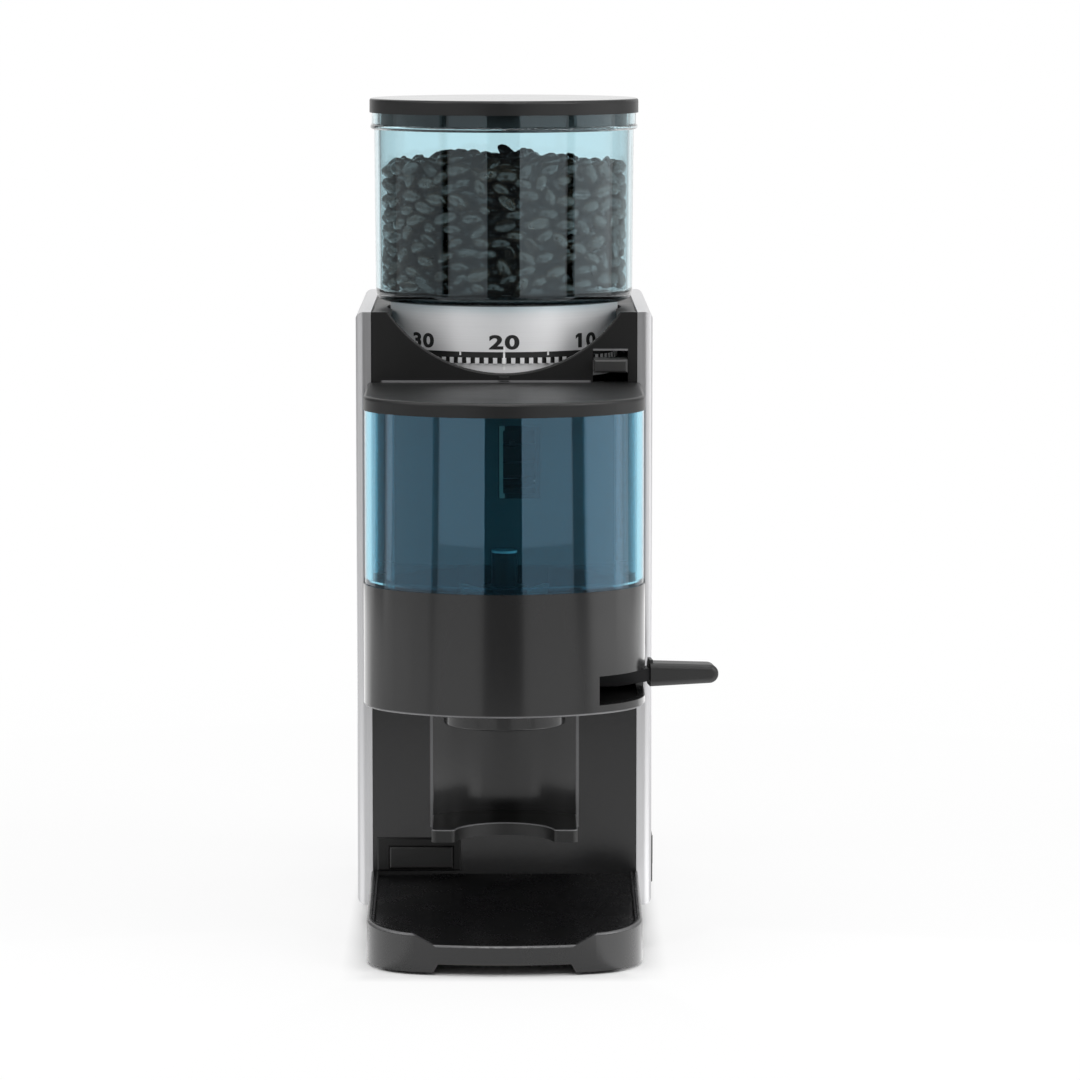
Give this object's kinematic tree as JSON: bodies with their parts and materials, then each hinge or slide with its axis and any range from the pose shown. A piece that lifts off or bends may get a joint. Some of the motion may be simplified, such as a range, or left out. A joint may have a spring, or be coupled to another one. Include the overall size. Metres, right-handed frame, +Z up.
{
  "type": "burr coffee grinder with doser",
  "caption": "Upright electric coffee grinder with a round clear bean hopper, numbered grind collar, lever doser over a filter fork and a sloped tray.",
  "frame": {"origin": "on the surface it stands on, on the middle plane, under the middle of its depth", "axes": "+Z up, -Y to the front where the doser is, +X to the side of the dosing lever"},
  "size_m": [0.148, 0.2568, 0.344],
  "materials": {
    "black_moulding": "fine grained black moulding",
    "lid_plastic": "satin black moulding",
    "drum_plastic": "satin dark grey moulding",
    "tinted_clear": "clear blue tinted moulding",
    "front_paint": "satin dark grey paint",
    "fork_paint": "black coated casting",
    "stainless_sheet": "brushed stainless sheet",
    "rear_paint": "satin black paint",
    "collar_aluminium": "turned and clear anodised, black filled scale",
    "cast_aluminium": "sand cast and machined",
    "burr_steel": "ground tool steel",
    "plated_steel": "zinc plated",
    "black_steel": "blackened and oiled",
    "motor_iron": "stacked sheet iron",
    "copper_winding": "enamelled wire",
    "control_plastic": "half gloss black moulding",
    "star_plastic": "black moulding",
    "foot_rubber": "moulded rubber"
  },
  "bodies": {
    "housing": {"base": "black_moulding", "fascia": "black_moulding", "top_cover": "black_moulding", "button_bezel": "black_moulding", "rocker_frame": "black_moulding", "cable_gland": "black_moulding", "doser_bottom_cover": "black_moulding", "terminal_block": "black_moulding", "button_switch": "black_moulding", "doser_drum": "drum_plastic", "dose_spout": "drum_plastic", "doser_window": "tinted_clear", "front_panel": "front_paint", "portafilter_fork": "fork_paint", "left_side_panel": "stainless_sheet", "right_side_panel": "stainless_sheet", "rear_panel": "rear_paint", "grinding_chamber": "cast_aluminium", "motor_lower_shield": "cast_aluminium", "motor_upper_shield": "cast_aluminium", "run_capacitor": "cast_aluminium", "frame_pillars": "plated_steel", "pillar_nuts": "plated_steel", "chassis_plate": "plated_steel", "panel_screws": "plated_steel", "motor_bearings": "plated_steel", "motor_tie_bolts": "plated_steel", "chamber_screws": "plated_steel", "lock_pivot_pin": "plated_steel", "lock_spring": "plated_steel", "lever_return_spring": "plated_steel", "capacitor_clip": "plated_steel", "doser_post": "black_steel", "dose_nut": "black_steel", "small_screws": "black_steel", "motor_stator": "motor_iron", "stator_windings": "copper_winding", "feet": "foot_rubber"},
    "grind_adjuster": {"grind_collar": "collar_aluminium", "bean_hopper": "tinted_clear", "hopper_screws": "plated_steel", "upper_burr_carrier": "cast_aluminium", "upper_burr": "burr_steel", "upper_burr_screws": "plated_steel"},
    "hopper_cap": {"hopper_lid": "lid_plastic"},
    "rotor": {"motor_shaft": "plated_steel", "rotor_core": "motor_iron", "cooling_fan": "black_moulding", "lower_burr_carrier": "cast_aluminium", "lower_burr": "burr_steel", "lower_burr_screws": "plated_steel"},
    "collar_lock": {"lock_lever": "black_steel", "lock_tab": "control_plastic"},
    "doser_cap": {"doser_lid": "lid_plastic"},
    "dosing_handle": {"dosing_lever": "black_steel", "lever_grip": "control_plastic", "lever_pawl": "black_steel"},
    "dose_wheel": {"star_wheel": "star_plastic"},
    "grind_button": {"push_button": "control_plastic"},
    "power_switch": {"power_rocker": "control_plastic"}
  },
  "joints": [
    {"name": "grind_turn", "type": "hinge", "parent": "housing", "child": "grind_adjuster", "pos_m": [0, 0.0265, 0.245], "axis": [0, 0, 1], "range_deg": [-90, 225]},
    {"name": "hopper_lid_lift", "type": "slide", "parent": "grind_adjuster", "child": "hopper_cap", "axis": [0, 0, 1], "range_m": [0, 0.08]},
    {"name": "motor_spin", "type": "hinge", "parent": "housing", "child": "rotor", "pos_m": [0, 0.0265, 0.12], "axis": [0, 0, 1], "continuous": true},
    {"name": "lock_press", "type": "hinge", "parent": "housing", "child": "collar_lock", "pos_m": [0.05025, 0.072, 0.2354], "axis": [1, 0, 0], "range_deg": [0, 2.3], "stiffness_Nm_per_rad": 6, "springref_deg": -1.72},
    {"name": "doser_lid_lift", "type": "slide", "parent": "housing", "child": "doser_cap", "axis": [0, -0.866, 0.5], "range_m": [0, 0.08]},
    {"name": "dosing_pull", "type": "hinge", "parent": "housing", "child": "dosing_handle", "pos_m": [0, -0.077, 0.1117], "axis": [0, 0, -1], "range_deg": [0, 45], "stiffness_Nm_per_rad": 0.25, "springref_deg": -17.19},
    {"name": "dose_index", "type": "hinge", "parent": "housing", "child": "dose_wheel", "pos_m": [0, -0.077, 0.134], "axis": [0, 0, -1], "range_deg": [0, 45]},
    {"name": "button_press", "type": "slide", "parent": "housing", "child": "grind_button", "axis": [0, 1, 0], "range_m": [0, 0.002], "stiffness_N_per_m": 400, "springref_m": -0.0015},
    {"name": "rocker_tilt", "type": "hinge", "parent": "housing", "child": "power_switch", "pos_m": [0.0592, -0.006, 0.028], "axis": [0, 0, 1], "range_deg": [0, 12]}
  ],
  "couplings": [
    {"joint": "dose_index", "follows": "dosing_pull", "ratio": 1}
  ]
}
